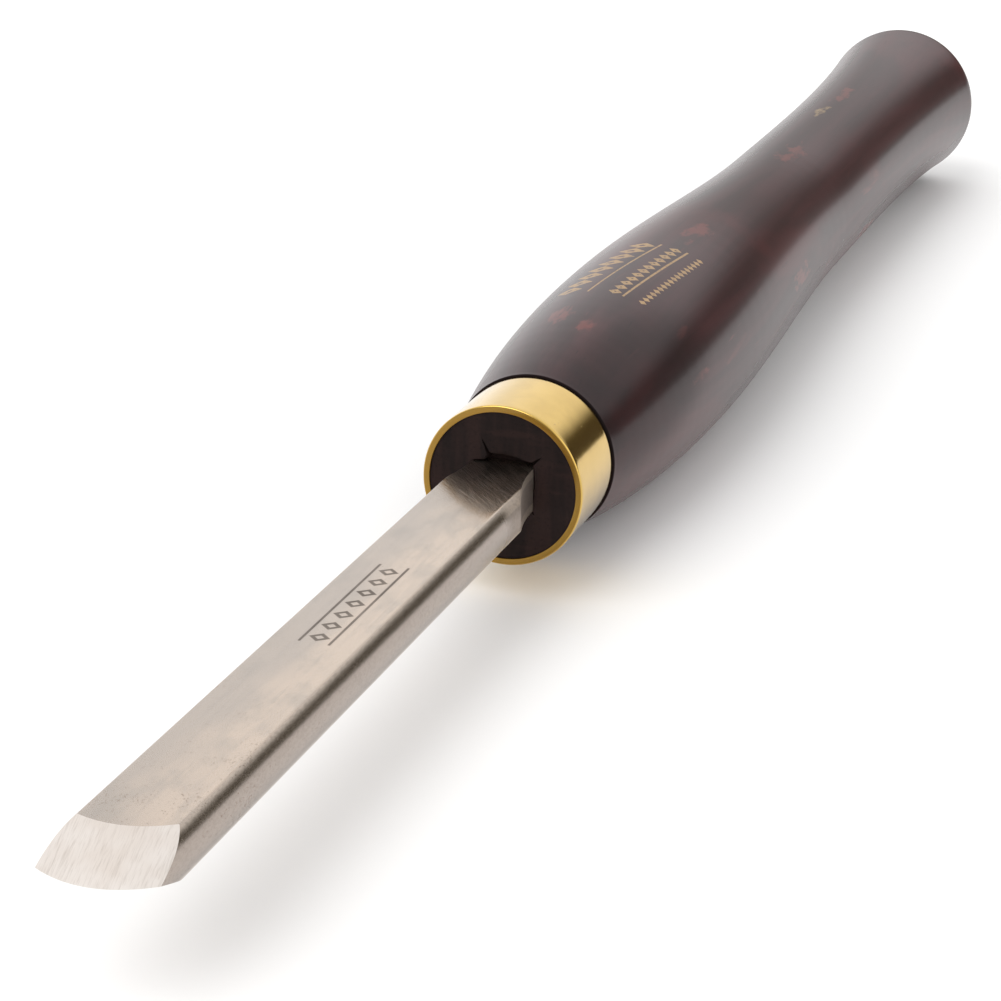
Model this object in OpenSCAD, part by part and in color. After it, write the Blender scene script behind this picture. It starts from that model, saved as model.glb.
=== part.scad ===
// Wood turning chisel: a double-bevelled steel blade, a brass ferrule and a turned hardwood handle.
// +Y runs along the handle's axis towards the butt, +X across the blade, +Z up out of its upper flat.
// The origin is on the handle's axis, at the middle of the ferrule's length.

/* [Blade] */
// Width of the blade across its rounded sides
blade_w = 16; // [15.2:0.2:19]
// Thickness of the blade between its two flats
blade_t = 7.5; // [6:0.1:8]
// Width of each flat, between the rounded sides
flat_w = 12.7; // [12:0.1:12.8]
// Length of the blade in front of the ferrule
blade_len = 138.5; // [80:0.5:220]
// Angle between each bevel and the middle plane of the blade
bevel_angle = 23; // [18:0.5:30]
// Radius of the crown of each bevel, square to the bevel
crown_r = 32; // [26:1:80]
// Angle by which the bevels are ground off square
grind_skew = 6.5; // [0:0.5:8]
// Distance of the crown's middle from the middle of the blade, at the cutting edge
crown_x = 0.6; // [-1.5:0.1:1.5]
// Angle between the blade and the handle's axis, in plan
blade_cant = 0; // [0:0.05:2]

/* [Tang] */
// Width of the tang where it enters the wood
tang_w = 10.6; // [9:0.1:11.5]
// Length of the tang behind the ferrule's front face
tang_len = 72; // [50:1:90]
// Width of the tang at its point
tang_tip_w = 4; // [3:0.5:6]
// Thickness of the tang at its point
tang_tip_t = 4; // [3:0.5:5]
// Radius of the hollow shoulders that narrow the blade to its tang
shoulder_r = 31; // [25:1:45]

/* [Ferrule] */
// Length of the ferrule
ferrule_len = 15.5; // [12:0.5:22]
// Outer diameter of the ferrule
ferrule_d = 27.6; // [26.8:0.1:28]
// Thickness of the ferrule's wall
ferrule_wall = 1.15; // [0.9:0.05:1.6]
// Rounding of the ferrule's outer edges
ferrule_edge = 0.3; // [0.1:0.05:0.4]

/* [Handle] */
// Length of the handle behind the ferrule
handle_len = 284.8; // [260:0.5:340]
// Diameter of the handle at its front shoulder
shoulder_d = 28.3; // [28.2:0.1:30]
// Largest diameter of the hand swell
swell_d = 38.6; // [34:0.2:42]
// Distance of the hand swell behind the ferrule
swell_y = 64.5; // [55:0.5:75]
// Smallest diameter of the waist
waist_d = 31.8; // [28:0.2:34]
// Distance of the waist behind the ferrule
waist_y = 161; // [145:1:180]
// Diameter of the flare where the butt's rounding begins
butt_d = 37.6; // [34:0.2:42]
// Radius of the butt's rounding
butt_r = 5.6; // [4:0.1:8]
// Radius of the dome that closes the butt
dome_r = 100; // [60:5:200]

/* [Hidden] */
$fn = 96;

// Places along Y
front = -ferrule_len / 2;
back = ferrule_len / 2;
tip_y = front - blade_len;
wood_y = front + 0.3;
tang_end = front + tang_len;

// The blade's section: flats joined by arcs that bulge to the full width
half_t = blade_t / 2;
bulge = (blade_w - flat_w) / 2;
side_r = (half_t * half_t + bulge * bulge) / (2 * bulge);
side_x = blade_w / 2 - side_r;
// The bevels are cut from a bar that starts this far in front of the cutting edge
spare = 3;
// Size of the block that each bevel's waste is cut from
waste = 36;
waste_depth = 4;

// The tang's sides and flats start to taper in the plane of the ferrule's front face
taper_y = front;
// The tang hole is deeper than the tang, and its mouth is opened out round the shoulders
hole_spare = 3;
mouth_depth = 3;
mouth_side = 0.7;
mouth_above = 0.8;
mouth_below = 0.2;

// The handle's outline: stations of [distance behind the ferrule, radius, slope]
shoulder_chamfer = 0.5;
shoulder_slope = 0.19;
flare_slope = 0.085;
flare_angle = atan(flare_slope);
spigot_r = ferrule_d / 2 - ferrule_wall;
// The butt's rounding meets the flare and the dome without a step
round_x = butt_d / 2 - butt_r * cos(flare_angle);
dome_back = sqrt(pow(dome_r - butt_r, 2) - pow(round_x, 2));
round_end = atan(dome_back / round_x);
round_y = handle_len - (dome_r - dome_back);
flare_y = round_y - butt_r * sin(flare_angle);
STATIONS = [
    [shoulder_chamfer, shoulder_d / 2, shoulder_slope],
    [swell_y, swell_d / 2, 0],
    [waist_y, waist_d / 2, 0],
    [flare_y, butt_d / 2, flare_slope]
];
steps = 16;
round_steps = 10;
dome_steps = 6;

// Radius at a fraction t of the way from station a to station b, on a smooth cubic
function between(a, b, t) =
    let (span = b[0] - a[0])
    a[1] * (1 - 3 * t * t + 2 * t * t * t)
    + b[1] * (3 * t * t - 2 * t * t * t)
    + span * a[2] * (t - 2 * t * t + t * t * t)
    + span * b[2] * (t * t * t - t * t);

// The outline from the shoulder to the start of the butt's rounding
function body_points() = [
    for (k = [0 : len(STATIONS) - 2], i = [0 : steps - 1])
        let (a = STATIONS[k], b = STATIONS[k + 1], t = i / steps)
        [between(a, b, t), back + a[0] + t * (b[0] - a[0])]
];

// The butt's rounding, from the flare to the dome
function round_points() = [
    for (i = [0 : round_steps])
        let (a = -flare_angle + (round_end + flare_angle) * i / round_steps)
        [round_x + butt_r * cos(a), back + round_y + butt_r * sin(a)]
];

// The dome, from the rounding to the axis
function dome_points() = [
    for (i = [1 : dome_steps])
        let (a = round_end + (90 - round_end) * i / dome_steps)
        [i == dome_steps ? 0 : dome_r * cos(a), back + round_y - dome_back + dome_r * sin(a)]
];

// Turns a profile in X and Y, drawn at X above zero, about the Y axis
module turned() {
    rotate([-90, 0, 0])
        rotate_extrude()
            children();
}

// Lays the blade and its hole at the angle to which the tang was driven
module canted() {
    translate([0, front, 0])
        rotate([0, 0, -blade_cant])
            translate([0, -front, 0])
                children();
}

// Section of the blade across its length
module blade_section() {
    intersection() {
        square([blade_w, blade_t], center = true);
        union() {
            square([2 * side_x, blade_t], center = true);
            for (side = [-1, 1])
                translate([side * side_x, 0])
                    circle(r = side_r);
        }
    }
}

// Outline of the tang from above, from the shoulders' end to its point
module tang_plan(end_y) {
    narrowing = (tang_w - tang_tip_w) / 2 / (tang_end - taper_y);
    half_end = tang_w / 2 - narrowing * (end_y - taper_y);
    polygon([
        [-tang_w / 2, taper_y],
        [tang_w / 2, taper_y],
        [half_end, end_y],
        [-half_end, end_y]
    ]);
}

// Outline of the whole blade from above, with the hollow shoulders
module blade_plan() {
    difference() {
        translate([-blade_w / 2, tip_y - spare])
            square([blade_w, taper_y - tip_y + spare]);
        for (side = [-1, 1])
            translate([side * (tang_w / 2 + shoulder_r), taper_y])
                circle(r = shoulder_r);
    }
    tang_plan(tang_end);
}

// Outline of the blade from the side: full thickness, then the tang's taper
module blade_side(end_y) {
    thinning = (blade_t - tang_tip_t) / 2 / (tang_end - taper_y);
    half_end = half_t - thinning * (end_y - taper_y);
    polygon([
        [tip_y - spare, -half_t],
        [taper_y, -half_t],
        [end_y, -half_end],
        [end_y, half_end],
        [taper_y, half_t],
        [tip_y - spare, half_t]
    ]);
}

// Extrudes an outline drawn from the side, in Y and Z, across the blade's width
module across(w) {
    rotate([90, 0, 90])
        linear_extrude(height = w, center = true)
            children();
}

// The waste in front of one bevel: a block that lies on the bevel, less the crown's large cylinder
module bevel_waste(side) {
    translate([crown_x, tip_y, 0])
        rotate([0, 0, grind_skew])
            rotate([side * bevel_angle, 0, 0])
                difference() {
                    translate([0, 0, side * (waste / 2 - waste_depth)])
                        cube(waste, center = true);
                    translate([0, 0, -side * crown_r])
                        rotate([90, 0, 0])
                            cylinder(r = crown_r, h = 2 * waste, center = true);
                }
}

// The bar with its tang and hollow shoulders, before the bevels are ground
module blank() {
    intersection() {
        translate([0, tip_y - spare, 0])
            rotate([-90, 0, 0])
                linear_extrude(height = tang_end - tip_y + spare)
                    blade_section();
        linear_extrude(height = 2 * blade_t, center = true)
            blade_plan();
        across(2 * blade_w)
            blade_side(tang_end);
    }
}

module blade() {
    color([0.74, 0.71, 0.68])
        canted()
            difference() {
                blank();
                bevel_waste(1);
                bevel_waste(-1);
            }
}

module ferrule() {
    color([0.84, 0.68, 0.36])
        turned() {
            difference() {
                translate([spigot_r, front])
                    square([ferrule_wall, ferrule_len]);
                for (end = [0, 1])
                    mirror([0, end])
                        edge_waste();
            }
        }
}

// What rounding removes from the ferrule's outer corner
module edge_waste() {
    translate([ferrule_d / 2 - ferrule_edge, back - ferrule_edge])
        difference() {
            square([2 * ferrule_edge, 2 * ferrule_edge]);
            circle(r = ferrule_edge);
        }
}

// The wedge-shaped hole that the tang was driven into, with its opened mouth
module tang_hole() {
    canted() {
        intersection() {
            linear_extrude(height = 2 * blade_t, center = true)
                tang_plan(tang_end + hole_spare);
            across(2 * blade_w)
                blade_side(tang_end + hole_spare);
        }
        translate([-tang_w / 2 - mouth_side, wood_y - mouth_depth, -half_t - mouth_below])
            cube([tang_w + 2 * mouth_side, 2 * mouth_depth, blade_t + mouth_above + mouth_below]);
    }
}

module handle() {
    color([0.20, 0.12, 0.12])
        difference() {
            turned()
                polygon(concat(
                    [[0, wood_y], [spigot_r, wood_y], [spigot_r, back],
                     [shoulder_d / 2 - shoulder_chamfer, back]],
                    body_points(),
                    round_points(),
                    dome_points()
                ));
            tang_hole();
        }
}

blade();
ferrule();
handle();
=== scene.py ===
# %% [markdown]
# # A wood turning chisel in three pieces
# The tool has three pieces: a steel blade with its own tang, a brass ferrule and a turned hardwood
# handle. Their sizes were settled in the CAD model. This lesson gives them their looks: finer meshes
# with real edges, and finishes made of shader nodes. The first cell loads the CAD model as a fixed
# frame, and everything after it is placed by measuring that frame.

# %% Load the frame
import math

import bmesh
import bpy
import numpy as np
from mathutils import Matrix, Vector


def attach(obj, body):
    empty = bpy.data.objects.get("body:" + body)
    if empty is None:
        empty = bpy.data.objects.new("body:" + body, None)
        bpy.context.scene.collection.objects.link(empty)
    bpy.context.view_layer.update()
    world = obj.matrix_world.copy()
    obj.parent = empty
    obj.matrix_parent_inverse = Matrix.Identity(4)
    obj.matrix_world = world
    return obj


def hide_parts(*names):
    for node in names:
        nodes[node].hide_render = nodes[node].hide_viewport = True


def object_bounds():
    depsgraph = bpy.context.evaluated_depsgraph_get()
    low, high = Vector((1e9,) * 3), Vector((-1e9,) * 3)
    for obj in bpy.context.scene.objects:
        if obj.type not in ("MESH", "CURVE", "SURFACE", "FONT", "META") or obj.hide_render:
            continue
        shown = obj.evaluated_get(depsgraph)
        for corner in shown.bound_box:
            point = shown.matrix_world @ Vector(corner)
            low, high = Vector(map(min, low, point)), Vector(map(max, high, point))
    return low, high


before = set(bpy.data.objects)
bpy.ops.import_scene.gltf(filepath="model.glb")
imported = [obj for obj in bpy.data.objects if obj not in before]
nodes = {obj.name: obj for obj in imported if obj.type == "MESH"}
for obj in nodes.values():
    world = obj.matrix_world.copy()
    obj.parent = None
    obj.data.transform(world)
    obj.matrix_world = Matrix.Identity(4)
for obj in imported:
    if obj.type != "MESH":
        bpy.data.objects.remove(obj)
cad_low, cad_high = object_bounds()
MM = 0.001
print("CAD box in mm:", [round(v / MM, 1) for v in (*cad_low, *cad_high)])

# %% [markdown]
# ## Measuring the frame
# A maker picks up the sizes of a part with callipers. Here the callipers are a few lines of numpy
# that read the vertices of a CAD node. Guessing the numbers again would also work, but then the
# looks could drift away from the part that they stand for.

# %% Callipers
def points_of(node):
    """The vertices of a CAD node, one row each, in metres."""
    mesh = nodes[node].data
    flat = np.zeros(len(mesh.vertices) * 3)
    mesh.vertices.foreach_get("co", flat)
    return flat.reshape(-1, 3)


ferrule_pts = points_of("ferrule")
ferrule_radii = np.hypot(ferrule_pts[:, 0], ferrule_pts[:, 2])
FERRULE_R = float(ferrule_radii.max())
SPIGOT_R = float(ferrule_radii.min())
FRONT = float(ferrule_pts[:, 1].min())
BACK = float(ferrule_pts[:, 1].max())
print(f"ferrule: outside {2e3 * FERRULE_R:.2f} mm, inside {2e3 * SPIGOT_R:.2f} mm,",
      f"{(BACK - FRONT) / MM:.2f} mm long")

# %% The handle's outline
handle_pts = points_of("handle")
handle_radii = np.hypot(handle_pts[:, 0], handle_pts[:, 2])
BUTT = float(handle_pts[:, 1].max())
WOOD_FACE = float(handle_pts[:, 1].min())
DOME_DEPTH = 12 * MM
TANG_HOLE_R = 9 * MM


def turned_outline():
    """The handle's outline behind the ferrule as (y, radius) pairs, read from the CAD rings."""
    behind_ferrule = handle_pts[:, 1] > BACK - 1e-6
    in_dome = handle_pts[:, 1] > BUTT - DOME_DEPTH
    outside = behind_ferrule & (in_dome | (handle_radii > TANG_HOLE_R))
    rings = {}
    for y, r in zip(handle_pts[outside, 1], handle_radii[outside]):
        key = round(float(y), 6)
        rings[key] = max(rings.get(key, 0.0), float(r))
    return np.array(sorted(rings.items()))


outline = turned_outline()
print(len(outline), "rings; widest", round(2e3 * outline[:, 1].max(), 2), "mm, butt at",
      round(BUTT / MM, 1), "mm")

# %% The blade's sizes
ON_FLAT = 0.01 * MM
ON_RING = 0.2 * MM
blade_pts = points_of("blade")
HALF_T = float(blade_pts[:, 2].max())
HALF_W = float(blade_pts[:, 0].max())
on_flat = np.abs(blade_pts[:, 2] - HALF_T) < ON_FLAT
HALF_FLAT = float(np.abs(blade_pts[on_flat, 0]).max())
at_front = np.abs(blade_pts[:, 1] - FRONT) < ON_RING
TANG_HALF_W = float(np.abs(blade_pts[at_front, 0]).max())
TIP = float(blade_pts[:, 1].min())
TANG_END = float(blade_pts[:, 1].max())
end_pts = blade_pts[blade_pts[:, 1] > TANG_END - ON_RING]
TANG_TIP_HALF_W = float(np.abs(end_pts[:, 0]).max())
TANG_TIP_HALF_T = float(np.abs(end_pts[:, 2]).max())
print(f"blade {2e3 * HALF_W:.2f} x {2e3 * HALF_T:.2f} mm, flats {2e3 * HALF_FLAT:.2f} mm,",
      f"{(FRONT - TIP) / MM:.1f} mm in front of the ferrule")
print(f"tang {2e3 * TANG_HALF_W:.2f} mm wide at the ferrule, {2e3 * TANG_TIP_HALF_W:.2f} x",
      f"{2e3 * TANG_TIP_HALF_T:.2f} mm at its point")

# %% [markdown]
# ## Writing shader sums as sums
# A finish is arithmetic on positions and noises. Wiring each Math node by hand hides that
# arithmetic, so a small class wraps a socket and overloads the operators: `1 - mask` or `a * b + c`
# then adds the nodes by itself. Colours go through a Mix node, because a Math node would turn them
# grey. Every other node comes from one method, `add`, which takes the node's type, its settings and
# its sockets.

# %% The sheet of nodes and its wires
class Wire:
    """One output socket. Arithmetic on it adds Math nodes."""

    def __init__(self, sheet, socket):
        self.sheet = sheet
        self.socket = socket

    def math(self, operation, *others):
        values = dict(enumerate((self, *others)))
        return self.sheet.add("ShaderNodeMath", {"operation": operation}, values)

    def __add__(self, other):
        return self.math("ADD", other)

    def __sub__(self, other):
        return self.math("SUBTRACT", other)

    def __mul__(self, other):
        return self.math("MULTIPLY", other)

    def __truediv__(self, other):
        return self.math("DIVIDE", other)

    __radd__ = __add__
    __rmul__ = __mul__

    def __rsub__(self, other):
        return self.sheet.add("ShaderNodeMath", {"operation": "SUBTRACT"}, {0: other, 1: self})

    def __rtruediv__(self, other):
        return self.sheet.add("ShaderNodeMath", {"operation": "DIVIDE"}, {0: other, 1: self})

    def __abs__(self):
        return self.math("ABSOLUTE")

    def step(self, low, high):
        """0 below low, 1 above high and smooth between; low may be the larger one."""
        settings = {"interpolation_type": "SMOOTHSTEP"}
        rising = low < high
        sockets = {"Value": self, "From Min": min(low, high), "From Max": max(low, high)}
        result = self.sheet.add("ShaderNodeMapRange", settings, sockets)
        return result if rising else 1 - result


class Sheet:
    """The node tree of a material or a world, and the ways to add nodes to it."""

    def __init__(self, owner):
        owner.use_nodes = True
        self.tree = owner.node_tree

    def add(self, kind, settings=None, sockets=None, out=0):
        """Any node: its settings are set first, then its sockets get values or links."""
        node = self.tree.nodes.new(kind)
        for key, value in (settings or {}).items():
            setattr(node, key, value)
        for key, value in (sockets or {}).items():
            self.plug(node.inputs[key], value)
        return Wire(self, node.outputs[out]) if node.outputs else None

    def plug(self, socket, value):
        if isinstance(value, Wire):
            self.tree.links.new(value.socket, socket)
        else:
            socket.default_value = value

    def split(self, vector):
        """The x, y and z of a vector, as three wires."""
        x = self.add("ShaderNodeSeparateXYZ", None, {"Vector": vector})
        return [Wire(self, socket) for socket in x.socket.node.outputs]

    def noise(self, vector, scale, detail, rough, stretch=(1, 1, 1), warp=0.0, shift=0.0):
        """Noise between 0 and 1; scale is per metre and stretch multiplies each axis."""
        moved = self.add("ShaderNodeMapping", None, {
            "Vector": vector,
            "Scale": tuple(scale * s for s in stretch),
            "Location": (shift, shift * 1.7, shift * 0.6)})
        return self.add("ShaderNodeTexNoise", {"noise_dimensions": "3D"}, {
            "Vector": moved, "Scale": 1.0, "Detail": detail, "Roughness": rough,
            "Distortion": warp})

    def mix(self, factor, a, b):
        """From colour a at 0 to colour b at 1."""
        settings = {"data_type": "RGBA", "blend_type": "MIX", "clamp_factor": True}
        values = {0: factor, 6: self.colour(a), 7: self.colour(b)}
        return self.add("ShaderNodeMix", settings, values, out=2)

    @staticmethod
    def colour(value):
        return value if isinstance(value, Wire) else (*value, 1.0)

    def bump(self, height, depth, strength, under=None):
        """A normal from a height between 0 and 1 that stands for a depth in metres."""
        sockets = {"Height": height, "Distance": depth, "Strength": strength}
        if under is not None:
            sockets["Normal"] = under
        return self.add("ShaderNodeBump", None, sockets)


print("sheet and wires ready")

# %% The sheet of one finish
class Finish(Sheet):
    """A material with its Principled shader."""

    def __init__(self, name, **constants):
        self.material = bpy.data.materials.new(name)
        super().__init__(self.material)
        self.shader = self.tree.nodes["Principled BSDF"]
        self.feed(**constants)

    def feed(self, **sockets):
        """Gives the shader's sockets their values, or links what varies to them."""
        for name, value in sockets.items():
            self.plug(self.shader.inputs[name.replace("_", " ")], value)
        return self.material

    def place(self):
        """Object coordinates, in metres."""
        return self.add("ShaderNodeTexCoord", out="Object")


print("finishes ready; a sheet has", len([m for m in vars(Sheet) if m[0] != "_"]), "methods")

# %% [markdown]
# ## The blade's steel
# The flats of a hardened steel bar are surface ground and then only wiped: they look satin, a
# little warm, and carry faint blotches and pits that are drawn out along the bar. An image of steel
# would stretch over the bar's long sides, so the pattern is worked out from each point's place in
# the blade's own frame. Ground steel both mirrors and scatters, because smooth lands lie between
# very fine grooves. One roughness cannot do both, so a noise finer than the eye can part sets some
# points smooth and some rough. Close to the ferrule, slanting scuffs are left by the shaping of the
# shoulders. A border etched by acid is a dull, dark stain, so it changes the colour and the
# roughness and has hardly any depth.

# %% A plain etched border
ETCH_MIDDLE = FRONT - 59.5 * MM
ETCH_HALF_LENGTH = 14.5 * MM
ETCH_END_SOFT = 0.05 * MM
ETCH_PITCH = 4.1 * MM
ETCH_RULE = 2.25 * MM
# Each pair: where a line of the border has just faded out, and where it is full
LOZENGE_OUTSIDE = (1.45 * MM, 1.30 * MM)
LOZENGE_INSIDE = (0.55 * MM, 0.70 * MM)
RULE_EDGE = (0.26 * MM, 0.16 * MM)
LOZENGE_SQUASH = 0.85


def saw_tooth(y, start, pitch):
    """Distance along Y from the middle of the nearest lozenge in a row."""
    return abs(((y - start) / pitch).math("FRACT") - 0.5) * pitch


def etched_border(u, y, up):
    """A row of lozenges between two rules, on the upper flat only."""
    reach = abs(u) * LOZENGE_SQUASH + saw_tooth(y, ETCH_MIDDLE - ETCH_HALF_LENGTH, ETCH_PITCH)
    lozenge = reach.step(*LOZENGE_OUTSIDE) * reach.step(*LOZENGE_INSIDE)
    rule = abs(abs(u) - ETCH_RULE).step(*RULE_EDGE)
    inside = abs(y - ETCH_MIDDLE).step(ETCH_HALF_LENGTH + ETCH_END_SOFT,
                                       ETCH_HALF_LENGTH - ETCH_END_SOFT)
    upper = up.step(0.9 * HALF_T, 0.99 * HALF_T)
    return lozenge.math("MAXIMUM", rule) * inside * upper


print(f"etched border: {2 * ETCH_HALF_LENGTH / MM:.0f} mm long,",
      round(2 * ETCH_HALF_LENGTH / ETCH_PITCH), "lozenges")

# %% Steel of the flats and sides
GREY_STEEL, STRAW_STEEL = (0.440, 0.383, 0.338), (0.560, 0.464, 0.386)
BLOTCH_STEEL, DRAWN_STEEL = (0.345, 0.315, 0.285), (0.32, 0.29, 0.27)
# The sides' darker colour is painted shade, for the floor's shadow that they mirror; it turns
# lighter again near the flats
SHADED_SIDE_STEEL, SIDE_TOP_STEEL = (0.378, 0.322, 0.285), (0.56, 0.48, 0.41)
SPECK_STEEL, PIT_BROWN, ETCH_BROWN = (0.26, 0.22, 0.19), (0.25, 0.185, 0.14), (0.12, 0.095, 0.075)
PITTED_FROM, PITTED_TO = TIP + 75 * MM, TIP + 12 * MM
SCUFFED_FROM, SCUFFED_TO = FRONT - 20 * MM, FRONT - 15 * MM


def steel_of_the_flats():
    sheet = Finish("blade_steel", Metallic=1.0)
    place = sheet.place()
    u, y, up = sheet.split(place)
    cloud = sheet.noise(place, 70, 3.0, 0.55, (1.0, 0.45, 1.0), shift=3.0)
    blotch = sheet.noise(place, 190, 4.0, 0.62, (1.0, 0.55, 1.0))
    drawn = sheet.noise(place, 1100, 3.0, 0.55, (1.0, 0.07, 1.0), shift=7.0)
    pit_field = sheet.noise(place, 3600, 2.0, 0.55, (1.0, 0.6, 1.0))
    pit_zone = sheet.noise(place, 150, 3.0, 0.6, (1.0, 0.7, 1.0), shift=11.0)
    near_heel = y.step(PITTED_FROM, PITTED_TO)
    deepest = (pit_field + (pit_zone - 0.5) * 0.45 + near_heel * 0.06).step(0.67, 0.77)
    pits = deepest * (near_heel * 0.7 + 0.3)
    slant = sheet.add("ShaderNodeCombineXYZ", None, {0: (y - u) * 0.04, 1: u + y, 2: up * 0.05})
    scuffs = sheet.noise(slant, 3000, 2.0, 0.5, shift=27.0).step(0.45, 0.70)
    scatter = sheet.noise(place, 15000, 1.0, 0.5, (1.0, 0.5, 1.0), shift=33.0).step(0.40, 0.60)
    at_shoulder = y.step(SCUFFED_FROM, SCUFFED_TO)
    etch = etched_border(u, y, up) * (0.55 + blotch * 0.8)
    side = abs(up).step(0.985 * HALF_T, 0.955 * HALF_T)
    warmth = (cloud + u * (0.035 / MM)).step(0.30, 0.72)
    warm = sheet.mix(warmth, GREY_STEEL, STRAW_STEEL)
    mottled = sheet.mix(blotch.step(0.46, 0.70) * 0.40, warm, BLOTCH_STEEL)
    drawn_out = sheet.mix(drawn.step(0.45, 0.75) * 0.22, mottled, DRAWN_STEEL)
    # Painted shade: the sides are darker than the flats, lighter again near the flats
    side_top = abs(up).step(2.05 * MM, 2.45 * MM)
    side_shaded = sheet.mix(side * 0.92, drawn_out, sheet.mix(side_top, SHADED_SIDE_STEEL, SIDE_TOP_STEEL))
    speck = sheet.noise(place, 2600, 2.0, 0.6, (1.0, 0.5, 1.0), shift=19.0).step(0.42, 0.66)
    specked = sheet.mix(speck * side * 0.30, side_shaded, SPECK_STEEL)
    pitted = sheet.mix(pits * 0.70, specked, PIT_BROWN)
    colour = sheet.mix(etch * 0.85, pitted, ETCH_BROWN)
    ground = 0.09 + scatter * 0.20 + scuffs * at_shoulder * 0.09
    rough_side = 0.19 + at_shoulder * 0.28
    rough = ground * (1 - side) + side * rough_side + blotch * 0.05 + pits * 0.10 + etch * 0.25
    height = drawn * 0.30 + blotch * 0.30 - pits * 0.3 - etch * 1.0
    normal = sheet.bump(height, 0.003 * MM, 0.5)
    return sheet.feed(Base_Color=colour, Roughness=rough, Normal=normal)


blade_steel = steel_of_the_flats()
print("nodes in the steel:", len(blade_steel.node_tree.nodes))

# %% [markdown]
# ## The ground bevels
# A bevel comes straight off the grinding wheel, so it is brighter than the flats and covered in
# fine scratches that run from the heel to the cutting edge. The same noise that draws out along the
# bar makes them, squeezed hard across the blade. They get their own material, because a real edge
# separates the two finishes.

# %% Steel of the bevels
BRIGHT_STEEL, WHITE_STEEL = (0.73, 0.66, 0.605), (0.80, 0.745, 0.70)
SCRATCH_GREY = (0.50, 0.44, 0.39)
SCRATCH_SLANT = 0.11
SCRATCH_STRETCH = 0.08


def steel_of_the_bevels():
    sheet = Finish("bevel_steel", Metallic=1.0)
    place = sheet.place()
    u, y, up = sheet.split(place)
    slant = u + (y - TIP) * SCRATCH_SLANT
    lean = sheet.add("ShaderNodeCombineXYZ", None, {
        0: slant, 1: y * SCRATCH_STRETCH, 2: up * SCRATCH_STRETCH})
    fine = sheet.noise(lean, 5200, 3.0, 0.6)
    coarse = sheet.noise(lean, 1500, 4.0, 0.65, shift=5.0)
    cloud = sheet.noise(place, 160, 2.0, 0.5, shift=2.0)
    scratch = fine * 0.6 + coarse * 0.4
    bright = sheet.mix(cloud.step(0.3, 0.7), BRIGHT_STEEL, WHITE_STEEL)
    colour = sheet.mix(scratch.step(0.45, 0.70) * 0.55, bright, SCRATCH_GREY)
    rough = 0.32 + scratch * 0.14
    normal = sheet.bump(scratch, 0.006 * MM, 0.8)
    return sheet.feed(Base_Color=colour, Roughness=rough, Normal=normal)


bevel_steel = steel_of_the_bevels()
print("nodes in the bevels:", len(bevel_steel.node_tree.nodes))

# %% [markdown]
# ## The brass of the ferrule
# The ferrule is cut from drawn tube and polished while the handle turns on the lathe. Polished
# brass is almost a mirror, so its look is mostly what it reflects: what the material adds is a deep
# yellow, very fine lines round the tube and a few dull spots and dents. Clear lacquer over it is
# the shader's coat. The sawn front face is duller and deeper in colour than the outside, and the
# same colour is painted over most of the outer rounded edge as painted shade, a dark line there.

# %% Brass
LACQUER_IOR = 1.5
YELLOW_BRASS, DARKER_BRASS = (0.655, 0.435, 0.105), (0.59, 0.385, 0.088)
# The sawn front face's own colour, also painted over most of the outer rounded edge as painted shade
FRONT_FACE_AND_EDGE_SHADE_BRASS, SPOT_BRASS = (0.31, 0.172, 0.022), (0.42, 0.27, 0.09)
FACE_AND_EDGE_SHADE_REACH = (FERRULE_R - 0.06 * MM, FERRULE_R - 0.28 * MM)


def from_axis(x, up):
    """Distance from the tool's axis."""
    return (x * x + up * up).math("SQRT")


def polished_brass():
    sheet = Finish("ferrule_brass", Metallic=1.0, Coat_Weight=0.5, Coat_Roughness=0.07,
                   Coat_IOR=LACQUER_IOR)
    place = sheet.place()
    x, _, up = sheet.split(place)
    # Painted shade: a dark line over the outer rounded edge, together with the sawn front face's own
    # duller finish
    face_and_edge_shade = from_axis(x, up).step(*FACE_AND_EDGE_SHADE_REACH)
    rounds = sheet.noise(place, 260, 3.0, 0.55, (0.12, 22.0, 0.12))
    cloud = sheet.noise(place, 150, 3.0, 0.55, shift=4.0)
    spots = sheet.noise(place, 900, 2.0, 0.5, shift=9.0).step(0.735, 0.77)
    yellow = sheet.mix(cloud.step(0.35, 0.7), YELLOW_BRASS, DARKER_BRASS)
    colour = sheet.mix(spots * 0.45, sheet.mix(face_and_edge_shade, yellow, FRONT_FACE_AND_EDGE_SHADE_BRASS), SPOT_BRASS)
    rough = 0.10 + cloud * 0.07 + spots * 0.25 + face_and_edge_shade * 0.16 + (rounds - 0.5) * 0.05
    dents = sheet.noise(place, 210, 1.0, 0.4, shift=13.0)
    soft = sheet.bump(dents, 0.05 * MM, 0.35)
    normal = sheet.bump(rounds, 0.002 * MM, 0.35, under=soft)
    return sheet.feed(Base_Color=colour, Roughness=rough, Normal=normal)


brass = polished_brass()
print("nodes in the brass:", len(brass.node_tree.nodes))

# %% [markdown]
# ## The printed border
# A printed mark on a turned handle is a thin, pale gold layer, a little worn. A printed image would
# need its own coordinates on the swell. Here three rows of lozenges and two rules are worked out
# from the angle round the handle and the distance along it, so that the mark bends with the wood.

# %% A plain printed border
PRINT_START, PRINT_END = 43 * MM, 73 * MM
PRINT_RADIUS = 18.9 * MM
PRINT_SOFT = 0.10 * MM
LOZENGE_FILL = 0.46
# Each row of lozenges: the angles round the handle, in degrees, where it starts and ends, half its
# height, its pitch, and how much of each lozenge is hollow
PRINT_ROWS = (
    (113, 94, 2.60 * MM, 3.75 * MM, 0.30),
    (84.5, 76, 1.30 * MM, 2.5 * MM, 0.25),
    (67.5, 61.5, 0.85 * MM, 1.67 * MM, 0.0),
)
# Each rule: the angles where it starts and ends, and half its width
PRINT_RULES = ((78.5, 70, 0.26 * MM), (99, 85.5, 0.24 * MM))


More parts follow.
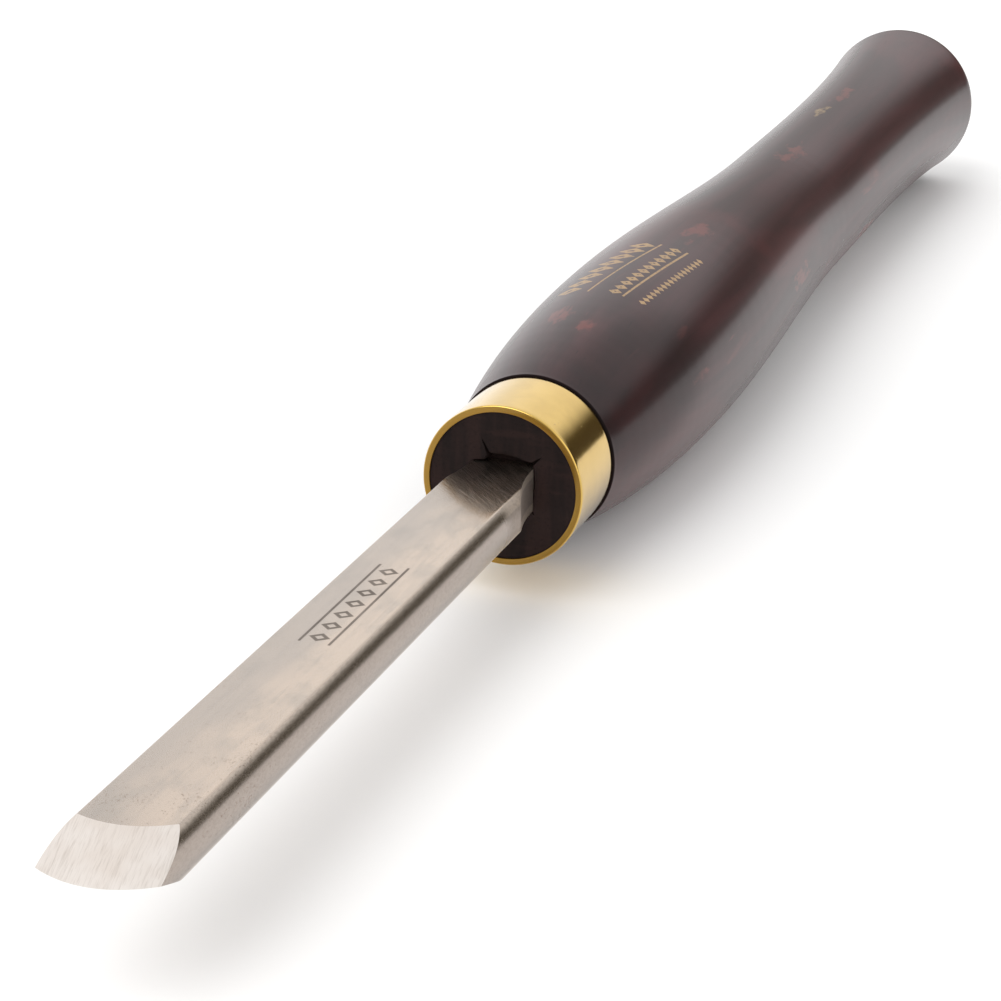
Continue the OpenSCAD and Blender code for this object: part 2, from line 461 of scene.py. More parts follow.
def printed_border(x, y, up):
    """Rows of lozenges and rules in pale gold, on the upper side of the swell."""
    angle = up.math("ARCTAN2", x)
    part = (y - PRINT_START) / (PRINT_END - PRINT_START)

    def offset(first, last):
        middle = part * math.radians(last - first) + math.radians(first)
        return abs(angle - middle) * PRINT_RADIUS

    mark = None
    for first, last, half, pitch, hollow in PRINT_ROWS:
        steepness = half / (LOZENGE_FILL * pitch)
        reach = offset(first, last) + saw_tooth(y, PRINT_START, pitch) * steepness
        row = reach.step(half, half - PRINT_SOFT)
        if hollow:
            row = row * reach.step(half * hollow - PRINT_SOFT, half * hollow)
        mark = row if mark is None else mark.math("MAXIMUM", row)
    for first, last, half in PRINT_RULES:
        mark = mark.math("MAXIMUM", offset(first, last).step(half, half - PRINT_SOFT))
    middle, half_length = 0.5 * (PRINT_START + PRINT_END), 0.5 * (PRINT_END - PRINT_START)
    return mark * abs(y - middle).step(half_length, half_length - PRINT_SOFT)


print(f"printed border: {(PRINT_END - PRINT_START) / MM:.0f} mm long,",
      len(PRINT_ROWS), "rows and", len(PRINT_RULES), "rules")

# %% [markdown]
# ## The handle's dark wood
# The wood is a dense plum-brown kind under satin lacquer. Its grain runs along the handle, so every
# noise is stretched along Y, and the growth rings are a wave of the distance from a pith that lies
# off the axis. The lacquer is the shader's coat: a second, smoother gloss over the wood, which
# gives nearly all of the shine, while the wood under it stays dull. A few ragged red patches, one
# pale knot and a dark streak of heartwood next to the ferrule break up the even brown. Each is an
# oval on the surface, so that it can be put in a chosen place: a noise tears the outline of the
# patches and the knot, and the streak fades out.

# %% Natural marks in the wood
# Each mark: its place along Y in mm, its angle in degrees, half its length and half its width in mm
RED_PATCHES = ((33, 102, 4, 2.2), (28, 84, 2.5, 1.6), (42, 14, 4.5, 1.0), (85, 76, 6, 2.5),
               (164, 80, 9, 2.5), (221, 89, 10, 1.6), (118, 8, 8, 1.5), (190, -30, 8, 3),
               (70, 200, 9, 4), (150, 230, 12, 4), (245, 160, 9, 3))
KNOT = (203, 92, 5.0, 1.5)
# The heartwood next to the ferrule, where the lacquer has also sunk in
HEART_STREAK = (22, 32, 30, 13)
RAGGEDNESS = 9.0
# How far out each kind of mark has just faded away, and how far out it is full
TORN_EDGE, SOFT_EDGE = (1.3, -0.6), (1.3, 0.3)


def oval_reach(y, angle, radius, mark):
    """0 in the middle of a mark on the handle's surface and 1 at its edge."""
    at_y, at_angle, half_length, half_width = mark
    turn = math.radians(at_angle if at_angle <= 180 else at_angle - 360)
    along = (y - at_y * MM) / (half_length * MM)
    around = (angle - turn) * radius / (half_width * MM)
    return along * along + around * around


def ragged_oval(y, angle, radius, mark, ragged):
    """A mark with a torn outline, from a noise."""
    return (oval_reach(y, angle, radius, mark) + (ragged - 0.5) * RAGGEDNESS).step(*TORN_EDGE)


def soft_oval(y, angle, radius, mark):
    """A mark that fades out."""
    return oval_reach(y, angle, radius, mark).step(*SOFT_EDGE)


print(len(RED_PATCHES), "red patches, one knot and one dark streak")

# %% Rings, streaks and patches
PITH_X, PITH_Z = 9 * MM, 14 * MM
PITH_SWAY = 6 * MM
RING_PITCH = 2.3 * MM
PLUM_DARK, PLUM = (0.026, 0.0080, 0.0090), (0.048, 0.0155, 0.0170)
RING_BROWN, PATCH_RED = (0.017, 0.0060, 0.0068), (0.080, 0.0195, 0.0205)
FLECK_RED, MARK_RED = (0.13, 0.032, 0.028), (0.19, 0.042, 0.034)
KNOT_PALE = (0.30, 0.20, 0.085)
FIBRE_DARK, HEART_DARK = (0.010, 0.005, 0.006), (0.009, 0.0042, 0.0045)


def growth_rings(x, up, sway):
    """A wave of the distance from the pith, which wanders along the handle."""
    from_pith_x = x + PITH_X + (sway - 0.5) * PITH_SWAY
    from_pith_z = up + PITH_Z
    distance = (from_pith_x * from_pith_x + from_pith_z * from_pith_z).math("SQRT")
    return (distance * (2 * math.pi / RING_PITCH) + sway * 5).math("SINE") * 0.5 + 0.5


def grown_colour(sheet, place, streaks, patch):
    """The colour that the tree grew, before any marks."""
    x, _, up = sheet.split(place)
    sway = sheet.noise(place, 14, 2.0, 0.5, (1.0, 0.35, 1.0), shift=1.0)
    flecks = sheet.noise(place, 300, 3.0, 0.6, (1.0, 0.12, 1.0), warp=0.6, shift=23.0)
    base = sheet.mix(streaks.step(0.3, 0.7), PLUM_DARK, PLUM)
    ringed = sheet.mix(growth_rings(x, up, sway).step(0.35, 0.95) * 0.30, base, RING_BROWN)
    patched = sheet.mix(patch.step(0.50, 0.66) * 0.45, ringed, PATCH_RED)
    return sheet.mix(flecks.step(0.66, 0.76) * 0.40, patched, FLECK_RED)


def marked_colour(sheet, place, grown, fibres, heart):
    """The red patches, the knot, the dark fibres and the heart streak over the grown colour."""
    x, y, up = sheet.split(place)
    angle = up.math("ARCTAN2", x)
    radius = from_axis(x, up)
    ragged = sheet.noise(place, 420, 3.0, 0.6, (1.0, 0.35, 1.0), shift=29.0)
    colour = grown
    for mark in RED_PATCHES:
        colour = sheet.mix(ragged_oval(y, angle, radius, mark, ragged) * 0.50, colour, MARK_RED)
    colour = sheet.mix(ragged_oval(y, angle, radius, KNOT, ragged) * 0.75, colour, KNOT_PALE)
    colour = sheet.mix(fibres.step(0.62, 0.74) * 0.5, colour, FIBRE_DARK)
    return sheet.mix(heart * 0.65, colour, HEART_DARK)


print(f"growth rings every {RING_PITCH / MM:.1f} mm round a pith",
      round(math.hypot(PITH_X, PITH_Z) / MM, 1), "mm off the axis")

# %% Wood under lacquer
LACQUER = 0.64
WOOD_ROUGH = 0.45
GRAIN_DEPTH, HAND_DEPTH = 0.010 * MM, 0.30 * MM
GOLD, JOINT_SHADE_BLACK = (0.46, 0.30, 0.15), (0.006, 0.004, 0.004)
# Painted shade: the turned corner next to the ferrule is painted near black, rougher and without
# coat, for the shade in the gap at the joint
JOINT_SHADE_EDGE = (BACK + 0.32 * MM, BACK + 0.20 * MM)


def dark_wood():
    sheet = Finish("handle_wood", Coat_Weight=LACQUER, Coat_Roughness=0.19, Coat_IOR=LACQUER_IOR,
                   Specular_IOR_Level=0.06)
    place = sheet.place()
    x, y, up = sheet.split(place)
    fibres = sheet.noise(place, 1500, 4.0, 0.6, (1.0, 0.02, 1.0), shift=2.0)
    streaks = sheet.noise(place, 260, 3.0, 0.55, (1.0, 0.05, 1.0), shift=6.0)
    patch = sheet.noise(place, 38, 3.0, 0.6, (1.0, 0.45, 1.0), warp=0.5, shift=17.0)
    heart = soft_oval(y, up.math("ARCTAN2", x), from_axis(x, up), HEART_STREAK)
    grown = grown_colour(sheet, place, streaks, patch)
    marked = marked_colour(sheet, place, grown, fibres, heart)
    worn = sheet.noise(place, 1400, 3.0, 0.6, shift=31.0).step(0.28, 0.52)
    gold = printed_border(x, y, up) * (0.40 + worn * 0.50)
    # Painted shade in the gap at the joint with the ferrule
    joint_shade = y.step(*JOINT_SHADE_EDGE)
    colour = sheet.mix(joint_shade * 0.9, sheet.mix(gold * 0.85, marked, GOLD), JOINT_SHADE_BLACK)
    rough = WOOD_ROUGH + (streaks - 0.5) * 0.08 + patch * 0.04 + gold * 0.05 + joint_shade * 0.3
    coat = (1 - joint_shade) * (LACQUER - gold * 0.25 - heart * 0.18)
    grain = sheet.bump(fibres, GRAIN_DEPTH, 0.04)
    hand = sheet.noise(place, 55, 2.0, 0.5, (1.0, 0.35, 1.0), shift=41.0)
    normal = sheet.bump(hand, HAND_DEPTH, 0.05, under=grain)
    return sheet.feed(Base_Color=colour, Roughness=rough, Coat_Weight=coat, Normal=normal)


wood = dark_wood()
print("nodes in the wood:", len(wood.node_tree.nodes))

# %% [markdown]
# ## The bare end grain
# Inside the ferrule the wood is sawn across and has no lacquer, so it drinks the light: almost
# black, with open pores, rays and faint saw marks. It is a second material on the same piece,
# chosen by the place of each face, because the change from one to the other is a sharp edge.

# %% Bare end grain
END_DARK, END_BROWN = (0.0075, 0.0032, 0.0028), (0.0175, 0.0075, 0.0062)
SAWN_BROWN, PORE_BLACK = (0.028, 0.012, 0.010), (0.004, 0.002, 0.002)


def end_grain():
    sheet = Finish("end_grain", Specular_IOR_Level=0.22)
    place = sheet.place()
    pores = sheet.noise(place, 1800, 2.0, 0.6, shift=3.0)
    rays = sheet.noise(place, 420, 3.0, 0.6, (1.0, 1.0, 0.12), shift=8.0)
    saw = sheet.noise(place, 700, 2.0, 0.5, (0.12, 1.0, 1.0), shift=14.0)
    dark = sheet.mix(rays.step(0.35, 0.7), END_DARK, END_BROWN)
    sawn = sheet.mix(saw.step(0.5, 0.72) * 0.35, dark, SAWN_BROWN)
    colour = sheet.mix(pores.step(0.58, 0.70) * 0.6, sawn, PORE_BLACK)
    rough = 0.72 + pores * 0.15
    normal = sheet.bump(pores * 0.5 + saw * 0.5, 0.03 * MM, 0.5)
    return sheet.feed(Base_Color=colour, Roughness=rough, Normal=normal)


bare_end = end_grain()
print("nodes in the end grain:", len(bare_end.node_tree.nodes))

# %% [markdown]
# ## From rings to a mesh
# Turned and drawn parts are stacks of rings. One helper joins any grid of points into quads, closed
# round the ring, and marks nothing else, so that each piece only has to say where its points are.
# Working the points out as arrays keeps every piece exact; primitives with modifiers would be
# quicker to type but could not follow the measured outlines.

# %% Grid to mesh
MERGE = 1e-7


def mesh_from_rings(name, rings, cap_first=False, cap_last=False, wrap=True):
    """rings: array (stations, points, 3). Quads join neighbours, and round each ring if wrap."""
    stations, around = rings.shape[:2]
    faces = []
    last = around if wrap else around - 1
    for i in range(stations - 1):
        for j in range(last):
            k = (j + 1) % around
            a, b = i * around, (i + 1) * around
            faces.append((a + j, b + j, b + k, a + k))
    if cap_first:
        faces.append(tuple(range(around)))
    if cap_last:
        faces.append(tuple(reversed(range((stations - 1) * around, stations * around))))
    mesh = bpy.data.meshes.new(name)
    mesh.from_pydata([tuple(point) for point in rings.reshape(-1, 3)], [], faces)
    piece = bpy.data.objects.new(name, mesh)
    bpy.context.scene.collection.objects.link(piece)
    return piece


def tidy_mesh(piece):
    """Joins doubled points and turns every face outwards."""
    work = bmesh.new()
    work.from_mesh(piece.data)
    bmesh.ops.remove_doubles(work, verts=work.verts, dist=MERGE)
    bmesh.ops.dissolve_degenerate(work, edges=work.edges, dist=MERGE)
    bmesh.ops.recalc_face_normals(work, faces=work.faces)
    work.to_mesh(piece.data)
    loose = sum(1 for e in work.edges if len(e.link_faces) != 2)
    work.free()
    print(piece.name, len(piece.data.polygons), "faces,", loose, "open edges")


def smooth_below(piece, degrees):
    """Shades smooth, and keeps the edges that turn more than this sharp."""
    for polygon in piece.data.polygons:
        polygon.use_smooth = True
    work = bmesh.new()
    work.from_mesh(piece.data)
    limit = math.radians(degrees)
    for edge in work.edges:
        edge.smooth = len(edge.link_faces) == 2 and edge.calc_face_angle(0.0) < limit
    work.to_mesh(piece.data)
    work.free()


print(f"points nearer than {MERGE / MM:.4f} mm become one")

# %% [markdown]
# ## The blade
# The bar has two ground flats joined by rounded sides. Two hollow shoulders narrow it to the tang,
# and the tip has a crowned bevel on each face. A boolean could cut all that from a box, but its
# creases would cross the faces at random. Here each line of points runs along the blade, from the
# cutting edge up the bevel to the heel, along the bar, and down the shoulder into the tang, so the
# heel and the edge are true rows of edges.

# %% Section of the bar
bulge = HALF_W - HALF_FLAT
SIDE_R = (HALF_T ** 2 + bulge ** 2) / (2 * bulge)
CORNER_R = 0.16 * MM
CORNER_POINTS = 4
FLAT_POINTS = 27
ARC_POINTS = 15
ARC_SHARE = 0.97


def upper_section():
    """Half of the bar's section, over the flat from the left side to the right, as (u, z)."""
    half_angle = math.asin(HALF_T / SIDE_R)
    arc_angles = np.linspace(0, half_angle * ARC_SHARE, ARC_POINTS)
    arc = np.column_stack([HALF_W - SIDE_R + SIDE_R * np.cos(arc_angles),
                           SIDE_R * np.sin(arc_angles)])
    # A small round joins the side's last tangent to the flat
    start = arc[-1]
    end = np.array([HALF_FLAT - CORNER_R, HALF_T])
    turn = np.array([start[0] - (HALF_T - start[1]) * math.tan(arc_angles[-1]), HALF_T])
    t = np.linspace(0, 1, CORNER_POINTS + 2)[1:-1, None]
    corner = (1 - t) ** 2 * start + 2 * t * (1 - t) * turn + t ** 2 * end
    right = np.vstack([arc, corner, end])
    flat_u = np.linspace(-end[0], end[0], FLAT_POINTS + 2)[1:-1]
    flat = np.column_stack([flat_u, np.full(FLAT_POINTS, HALF_T)])
    return np.vstack([right * (-1, 1), flat, right[::-1]])


section = upper_section()
print(len(section), "points over the flat; side radius", round(SIDE_R / MM, 2), "mm")

# %% The crowned bevel
BEVEL_ANGLE = math.radians(23)
CROWN_R = 32 * MM
GRIND_SKEW = math.radians(6.5)
CROWN_X = 0.6 * MM
CROWN_TIP = FRONT - 138.5 * MM
SOLVE_STEPS = 12


def bevel_y(u, z):
    """Where the bevel's large cylinder meets the line along the blade through (u, z)."""
    across = u - CROWN_X
    along = np.zeros_like(u)
    for _ in range(SOLVE_STEPS):
        sideways = across * math.cos(GRIND_SKEW) + along * math.sin(GRIND_SKEW)
        rise = CROWN_R - np.sqrt(CROWN_R ** 2 - sideways ** 2)
        back = (np.abs(z) * math.cos(BEVEL_ANGLE) + rise) / math.sin(BEVEL_ANGLE)
        along = (back + across * math.sin(GRIND_SKEW)) / math.cos(GRIND_SKEW)
    return CROWN_TIP + along


heel_y = bevel_y(section[:, 0], section[:, 1])
edge_y = bevel_y(section[:, 0], 0 * section[:, 1])
print(f"cutting edge from y = {edge_y.min() / MM:.2f} to {edge_y.max() / MM:.2f} mm,",
      f"CAD tip at {TIP / MM:.2f} mm; heel at {heel_y.min() / MM:.2f} mm")

# %% The shoulders and the tang
SHOULDER_R = 31 * MM
TANG_CORNER = 0.15 * MM
shoulder_rise = HALF_W - TANG_HALF_W
SHOULDER_START = FRONT - math.sqrt(SHOULDER_R ** 2 - (SHOULDER_R - shoulder_rise) ** 2)


def half_width_at(y):
    """Half the blade's width in plan: full, then the hollow shoulder, then the tang's taper."""
    if y <= SHOULDER_START:
        return HALF_W
    if y <= FRONT:
        return TANG_HALF_W + SHOULDER_R - math.sqrt(SHOULDER_R ** 2 - (FRONT - y) ** 2)
    part = (y - FRONT) / (TANG_END - FRONT)
    return TANG_HALF_W + part * (TANG_TIP_HALF_W - TANG_HALF_W)


def half_thickness_at(y):
    """Half the blade's thickness: full as far as the ferrule, then the tang's taper."""
    part = max(0.0, (y - FRONT) / (TANG_END - FRONT))
    return HALF_T + part * (TANG_TIP_HALF_T - HALF_T)


def tang_ring(y):
    """The section's points drawn in to the width and thickness of the blade at y."""
    half = half_width_at(y)
    inner = HALF_FLAT - CORNER_R
    u, z = section.T
    squeeze = min(1.0, (half - TANG_CORNER) / inner)
    on_top = np.abs(u) <= inner + 1e-9
    new_u = np.where(on_top, u * squeeze, np.clip(u, -half, half))
    return np.column_stack([new_u, np.full(len(u), y), z * half_thickness_at(y) / HALF_T])


print(f"shoulders start {(FRONT - SHOULDER_START) / MM:.1f} mm in front of the ferrule")

# %% Lay out the lines and build the blade
BEVEL_ROWS = 24
BAR_ROWS = 70
SHOULDER_ROWS = 48
TANG_ROWS = 24
LEAD_IN = 0.5 * MM
BLADE_SHARP = 16


def blade_lines():
    """Rings of the upper half, from the cutting edge to the tang's end."""
    u, z = section.T
    rings = []
    for t in np.linspace(0, 1, BEVEL_ROWS):
        rings.append(np.column_stack([u, bevel_y(u, z * t), z * t]))
    start = SHOULDER_START - LEAD_IN
    for t in np.linspace(0, 1, BAR_ROWS)[1:]:
        rings.append(np.column_stack([u, heel_y + t * (start - heel_y), z]))
    for y in np.linspace(start, FRONT, SHOULDER_ROWS)[1:]:
        rings.append(tang_ring(y))
    for y in np.linspace(FRONT, TANG_END, TANG_ROWS)[1:]:
        rings.append(tang_ring(y))
    return np.array(rings)


def build_blade():
    upper = blade_lines()
    lower = upper[:, ::-1].copy()
    lower[:, :, 2] *= -1
    whole = np.concatenate([upper, lower[:, 1:-1]], axis=1)
    piece = mesh_from_rings("turning_blade", whole, cap_last=True)
    around = whole.shape[1]
    piece.data.materials.append(blade_steel)
    piece.data.materials.append(bevel_steel)
    for polygon in piece.data.polygons:
        if polygon.vertices[0] // around < BEVEL_ROWS - 1:
            polygon.material_index = 1
    tidy_mesh(piece)
    smooth_below(piece, BLADE_SHARP)
    return piece


blade = build_blade()
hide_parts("blade")
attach(blade, "root")

# %% [markdown]
# ## The ferrule
# A ferrule is a ring with two rounded outer corners and an inner corner that the file has just
# touched. Its section is drawn once as a closed loop of points and swept round the axis.

# %% Sweep a closed section round the axis
AROUND = 256
CORNER_STEPS = 7
turn_angles = np.linspace(0, 2 * math.pi, AROUND, endpoint=False)


def circle(y, r):
    """A ring about the Y axis at y; r is one radius, or one for each angle."""
    return np.column_stack([np.cos(turn_angles) * r, np.full(AROUND, y), np.sin(turn_angles) * r])


def swept(name, profile):
    """Turns a closed loop of (y, radius) points about the Y axis."""
    rings = [circle(y, r) for y, r in profile]
    return mesh_from_rings(name, np.array(rings + rings[:1]))


def rounded_corner(y, r, radius, start):
    """Points of a quarter round about (y, r), from an angle in degrees measured from +Y to +r."""
    angles = np.radians(np.linspace(start, start + 90, CORNER_STEPS))
    return np.column_stack([y + radius * np.cos(angles), r + radius * np.sin(angles)])


print("sweeps have", AROUND, "points round the axis")

# %% The ferrule's section
OUTER_EDGE = 0.30 * MM
INNER_EDGE = 0.12 * MM
WALL_POINTS = 18
FERRULE_SHARP = 40


def build_ferrule():
    outer_back = rounded_corner(BACK - OUTER_EDGE, FERRULE_R - OUTER_EDGE, OUTER_EDGE, 0)
    outer_front = rounded_corner(FRONT + OUTER_EDGE, FERRULE_R - OUTER_EDGE, OUTER_EDGE, 90)
    inner_front = rounded_corner(FRONT + INNER_EDGE, SPIGOT_R + INNER_EDGE, INNER_EDGE, 180)
    inner_back = rounded_corner(BACK - INNER_EDGE, SPIGOT_R + INNER_EDGE, INNER_EDGE, 270)
    wall_y = np.linspace(BACK - OUTER_EDGE, FRONT + OUTER_EDGE, WALL_POINTS + 2)[1:-1]
    wall = np.column_stack([wall_y, np.full(WALL_POINTS, FERRULE_R)])
    piece = swept("brass_ferrule",
                  np.vstack([inner_back, outer_back, wall, outer_front, inner_front]))
    tidy_mesh(piece)
    smooth_below(piece, FERRULE_SHARP)
    piece.data.materials.append(brass)
    return piece


ferrule = build_ferrule()
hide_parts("ferrule")
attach(ferrule, "root")

# %% [markdown]
# ## The handle
# The measured outline has a ring every few millimetres. A smooth curve through those rings gives a
# ring for every millimetre or less, so that the surface flows as it does off the lathe. At the front
# the wood is sawn flat inside the ferrule, with the mouth of the tang hole in it: driving the tang
# in has opened small splits at its corners. That mouth is real geometry, because the dark gap above
# the steel is what makes the tool look driven together.

# %% Flowing outline
def flowing(points, step):
    """A smooth curve through points, with slopes from their neighbours, sampled about every step."""
    gaps = np.hypot(*np.diff(points, axis=0).T)
    at = np.concatenate([[0], np.cumsum(gaps)])
    slopes = np.gradient(points, at, axis=0)
    samples = []
    for i, gap in enumerate(gaps):
        count = max(2, int(math.ceil(gap / step)))
        for t in np.arange(count) / count:
            h00, h10 = 2 * t ** 3 - 3 * t ** 2 + 1, t ** 3 - 2 * t ** 2 + t
            h01, h11 = -2 * t ** 3 + 3 * t ** 2, t ** 3 - t ** 2
            samples.append(h00 * points[i] + h10 * gap * slopes[i]
                           + h01 * points[i + 1] + h11 * gap * slopes[i + 1])
    samples.append(points[-1])
    return np.array(samples)


RING_STEP = 1.0 * MM
# The CAD model's first ring belongs to its chamfer, which a finer corner replaces
first_ring = int(np.argmax(outline[:, 0] > BACK + 0.1 * MM))
body_outline = flowing(outline[first_ring:], RING_STEP)
body_outline[-1, 1] = 0.0
print(len(body_outline), "rings from", len(outline), "measured ones")

# %% The mouth of the tang hole
MOUTH_DEPTH = 2.5 * MM
# Corners of the mouth in X and Z, in mm, counter-clockwise from the lower right
MOUTH = ((5.35, -3.85), (5.38, -0.6), (5.5, 3.2), (5.1, 4.7), (1.4, 5.35), (-2.6, 5.55), (-3.1, 4.3),
         (-5.0, 3.85), (-5.4, -3.85))
# Splits in the wood: direction in degrees, how far it runs past the mouth in mm and how wide it is
SPLITS = ((115, 2.9, 2.6), (41, 2.3, 2.4), (146, 0.3, 1.8), (-38, 0.9, 2.6))
TORN_WIDE, TORN_FINE = 0.09, 0.05


def mouth_radius(angle):
    """Distance from the axis to the mouth's edge, in the direction of the angle."""
    c, s = math.cos(angle), math.sin(angle)
    edge = 0.0
    for (ax, az), (bx, bz) in zip(MOUTH, MOUTH[1:] + MOUTH[:1]):
        # Where the ray from the axis meets the side from a to b
        across = (bx - ax) * s - (bz - az) * c
        if abs(across) > 1e-9:
            part = (az * c - ax * s) / across
            along = (ax + part * (bx - ax)) * c + (az + part * (bz - az)) * s
            if 0 <= part <= 1 and along > 0:
                edge = max(edge, along)
    torn = TORN_WIDE * math.sin(5 * angle + 0.7) + TORN_FINE * math.sin(13 * angle)
    split = 0.0
    for middle, length, width in SPLITS:
        off = abs((math.degrees(angle) - middle + 180) % 360 - 180)
        split = max(split, length * max(0.0, 1 - off / width))
    return (edge + torn + split) * MM


mouth = np.array([mouth_radius(angle) for angle in turn_angles])
print(f"the mouth is {mouth.min() / MM:.1f} to {mouth.max() / MM:.1f} mm from the axis")

# %% The sawn face and the corner behind the ferrule
FACE_GAP = 0.02 * MM
FACE_R = SPIGOT_R - FACE_GAP
FACE_RINGS = 14
FACE_DISH = 0.12 * MM
MOUTH_TAPER = 0.04
MOUTH_FLOOR = 0.35
# Parts of the mouth's depth at which its wall has a ring
WALL_RINGS = (0.6, 0.25, 0.04)
# The rounded corner, in mm: how far behind the ferrule each ring is, and how much narrower
CORNER_RINGS = ((0.01, 0.22), (0.10, 0.10), (0.28, 0.02))


def face_rings():
    """From the floor of the mouth, up its wall and over the slightly dished face."""
    floor_y = WOOD_FACE + MOUTH_DEPTH
    rings = [circle(floor_y, MOUTH_FLOOR * mouth), circle(floor_y, (1 - MOUTH_TAPER) * mouth)]
    for t in WALL_RINGS:
        rings.append(circle(WOOD_FACE + MOUTH_DEPTH * t, mouth * (1 - MOUTH_TAPER * t)))
    for t in np.linspace(0.02, 1, FACE_RINGS):
        dish = FACE_DISH * math.sin(math.pi * t)
        rings.append(circle(WOOD_FACE + dish, mouth + (FACE_R - mouth) * t))
    return rings


def corner_rings():
    """The spigot's back end and the corner that the ferrule butts against."""
    rings = [circle(BACK - FACE_GAP, FACE_R)]
    for behind, narrower in CORNER_RINGS:
        rings.append(circle(BACK + behind * MM, body_outline[0, 1] - narrower * MM))
    return rings


print(len(face_rings()), "rings inside the ferrule and", len(corner_rings()), "round the corner")

# %% Build the handle
HANDLE_SHARP = 35
BARE_UP_TO = BACK - 0.1 * MM


def build_handle():
    body = [circle(y, r) for y, r in body_outline]
    rings = np.array(face_rings() + corner_rings() + body)
    piece = mesh_from_rings("hardwood_handle", rings, cap_first=True)
    tidy_mesh(piece)
    smooth_below(piece, HANDLE_SHARP)
    piece.data.materials.append(wood)
    piece.data.materials.append(bare_end)
    for polygon in piece.data.polygons:
        if polygon.center.y < BARE_UP_TO:
            polygon.material_index = 1
    return piece


handle = build_handle()
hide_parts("handle")
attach(handle, "root")

# %% [markdown]
# ## The floor
# The tool lies on a plain white sweep. A flat mesh with a faint tooth is enough, as long as it is
# wide enough that its edges never show.

# %% White floor
FLOOR_Z = float(cad_low[2]) - 0.05 * MM
FLOOR_HALF = 6.0
FLOOR_POINTS = 13
PAPER, PAPER_LIGHT = (0.93, 0.925, 0.92), (0.945, 0.94, 0.935)


def white_paper():
    sheet = Finish("white_sweep", Roughness=0.65, Specular_IOR_Level=0.25)
    place = sheet.place()
    tooth = sheet.noise(place, 400, 3.0, 0.5)
    cloud = sheet.noise(place, 2.0, 2.0, 0.5)
    colour = sheet.mix(cloud, PAPER, PAPER_LIGHT)
    return sheet.feed(Base_Color=colour, Normal=sheet.bump(tooth, 0.01 * MM, 0.2))


def lay_floor():
    grid = np.linspace(-FLOOR_HALF, FLOOR_HALF, FLOOR_POINTS)
    rows = np.array([[(x, y, FLOOR_Z) for x in grid] for y in grid])
    floor = mesh_from_rings("floor", rows, wrap=False)
    floor.data.materials.append(white_paper())


lay_floor()
print(f"floor at {FLOOR_Z / MM:.2f} mm, {2 * FLOOR_HALF:.0f} m wide")

# %% [markdown]
# ## The light
# A polished tool shows what stands round it, so the light is built as a room: an even white sky,
# brighter behind on the left and on the right, dimmer in front, and one dark stretch low down at
# the back on the right, like a brown card that stands there. Without the card the brass and the
# rounded sides would have no dark line and would look like plastic. Area lamps would show as hard
# white squares in the bevels, so the only lamp is a distant one with a very wide disc.

# %% Sky with a dark card
# Azimuths are in degrees from +Y, which is behind the tool, towards +X on the right. Each step gives
# the place where a change in the sky begins and the place where it is complete.
WHITE = (1.0, 1.0, 1.0)
CARD_AZIMUTH, CARD_ACROSS, CARD_UP = 30, (0.50, 0.86), (0.40, 0.21)
CARD_BROWN = (0.080, 0.068, 0.050)
GLOW_AZIMUTH, GLOW_ACROSS, GLOW_UP = -30, (0.35, 0.85), (0.75, 0.40)
GLOW = (1.3, 1.3, 1.3)
FRONT_STEP = (-0.15, -0.75)
FRONT_DIM = (0.55, 0.55, 0.55)
RIGHT_TOWARDS_FRONT, RIGHT_STEP = 0.35, (0.55, 0.90)
RIGHT_FILL = (1.6, 1.6, 1.6)


def facing(x, y, azimuth):
    """How far a direction points to an azimuth, 1 at most."""
    turn = math.radians(azimuth)
    return x * math.sin(turn) + y * math.cos(turn)


def sky_colour(sheet):
    x, y, up = sheet.split(sheet.add("ShaderNodeTexCoord", out="Generated"))
    card = facing(x, y, CARD_AZIMUTH).step(*CARD_ACROSS) * up.step(*CARD_UP)
    glow = facing(x, y, GLOW_AZIMUTH).step(*GLOW_ACROSS) * up.step(*GLOW_UP)
    right = (x - y * RIGHT_TOWARDS_FRONT).step(*RIGHT_STEP)
    dimmed = sheet.mix(y.step(*FRONT_STEP), WHITE, FRONT_DIM)
    filled = sheet.mix(right, sheet.mix(glow, dimmed, GLOW), RIGHT_FILL)
    return sheet.mix(card, filled, CARD_BROWN)


print("sky: card towards", CARD_AZIMUTH, "degrees, glow towards", GLOW_AZIMUTH)

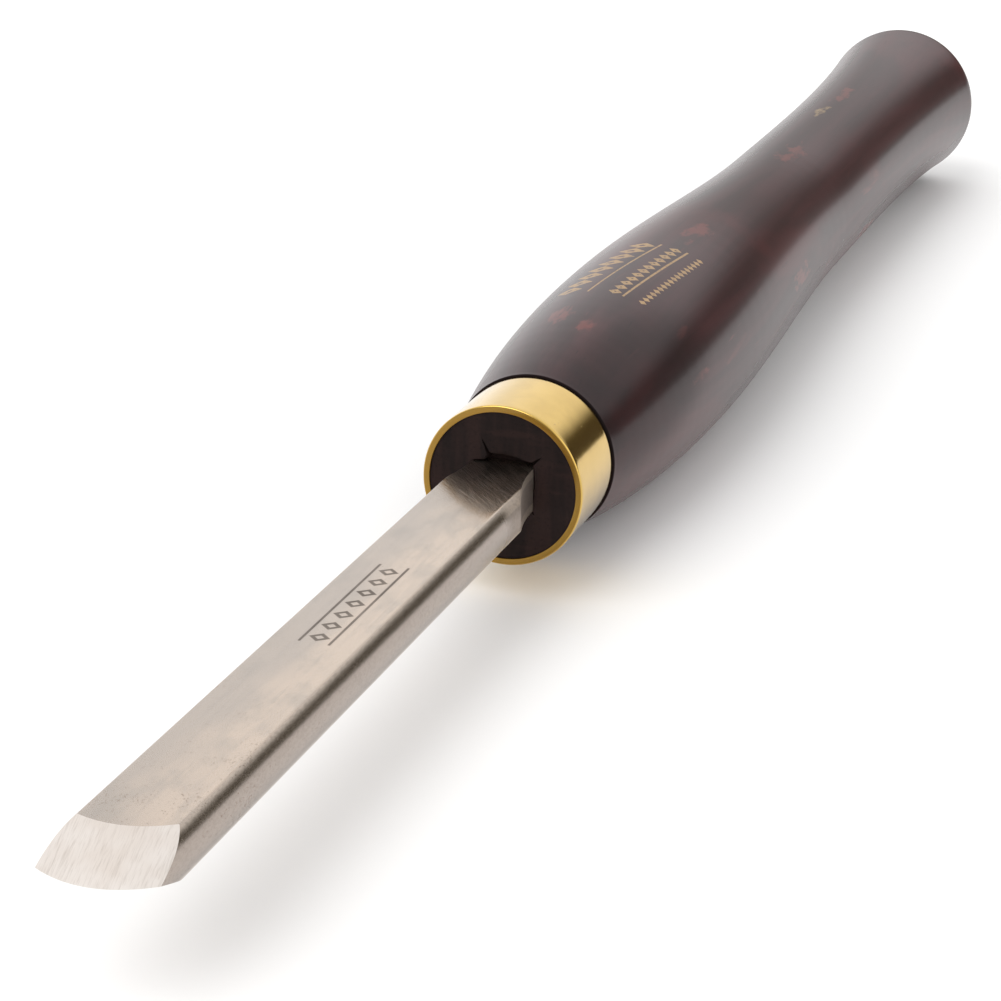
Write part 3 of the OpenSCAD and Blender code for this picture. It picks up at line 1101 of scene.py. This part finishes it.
# %% Hang the sky
def studio_sky():
    """What the tool mirrors is this sky, but seen directly the sky is plain white."""
    world = bpy.data.worlds.new("studio_sky")
    bpy.context.scene.world = world
    sheet = Sheet(world)
    sheet.tree.nodes.clear()
    light = sheet.add("ShaderNodeBackground", None, {"Color": sky_colour(sheet)})
    plain = sheet.add("ShaderNodeBackground", None, {"Color": (*WHITE, 1.0)})
    seen = sheet.add("ShaderNodeLightPath", out="Is Camera Ray")
    shown = sheet.add("ShaderNodeMixShader", None, {0: seen, 1: light, 2: plain})
    sheet.add("ShaderNodeOutputWorld", None, {"Surface": shown})


studio_sky()
print("nodes in the sky:", len(bpy.context.scene.world.node_tree.nodes))

# %% One wide soft lamp
KEY_FROM = (-0.35, -0.75, 1.0)
KEY_SPREAD, KEY_STRENGTH = 45, 1.3


def soft_key():
    """A distant lamp with a wide disc, so that its shadows are soft everywhere."""
    light = bpy.data.lights.new("key_lamp", "SUN")
    light.angle = math.radians(KEY_SPREAD)
    light.energy = KEY_STRENGTH
    lamp = bpy.data.objects.new("key_lamp", light)
    bpy.context.scene.collection.objects.link(lamp)
    lamp.rotation_euler = Vector(KEY_FROM).to_track_quat("Z", "Y").to_euler()


soft_key()
print("lamp", KEY_SPREAD, "degrees wide")

# %% [markdown]
# ## The camera
# A long lens from in front and above looks down the tool from its cutting edge, so that the blade
# is large and the handle runs away to the back on the right. The camera is given by its place and
# by the three directions of its own axes.

# %% Camera
CAMERA_PLACE = Vector((139.5, -384.0, 156.5)) * MM
CAMERA_TURN = Matrix(((0.93657, -0.13466, 0.32358),
                      (0.35043, 0.34283, -0.87159),
                      (0.00644, 0.92970, 0.36827)))
LENS, SENSOR = 95.38, 36.0
NEAREST, FARTHEST = 0.01, 50


def place_camera():
    data = bpy.data.cameras.new("camera")
    data.lens = LENS
    data.sensor_width = SENSOR
    data.clip_start, data.clip_end = NEAREST, FARTHEST
    data.dof.use_dof = False
    camera = bpy.data.objects.new("camera", data)
    bpy.context.scene.collection.objects.link(camera)
    camera.matrix_world = Matrix.Translation(CAMERA_PLACE) @ CAMERA_TURN.to_4x4()
    bpy.context.scene.camera = camera


place_camera()
bpy.context.scene.view_settings.view_transform = "Standard"
bpy.context.scene.view_settings.look = "None"
print("camera", round((CAMERA_PLACE - Vector((0, FRONT, 0))).length / MM), "mm from the ferrule")

# %% [markdown]
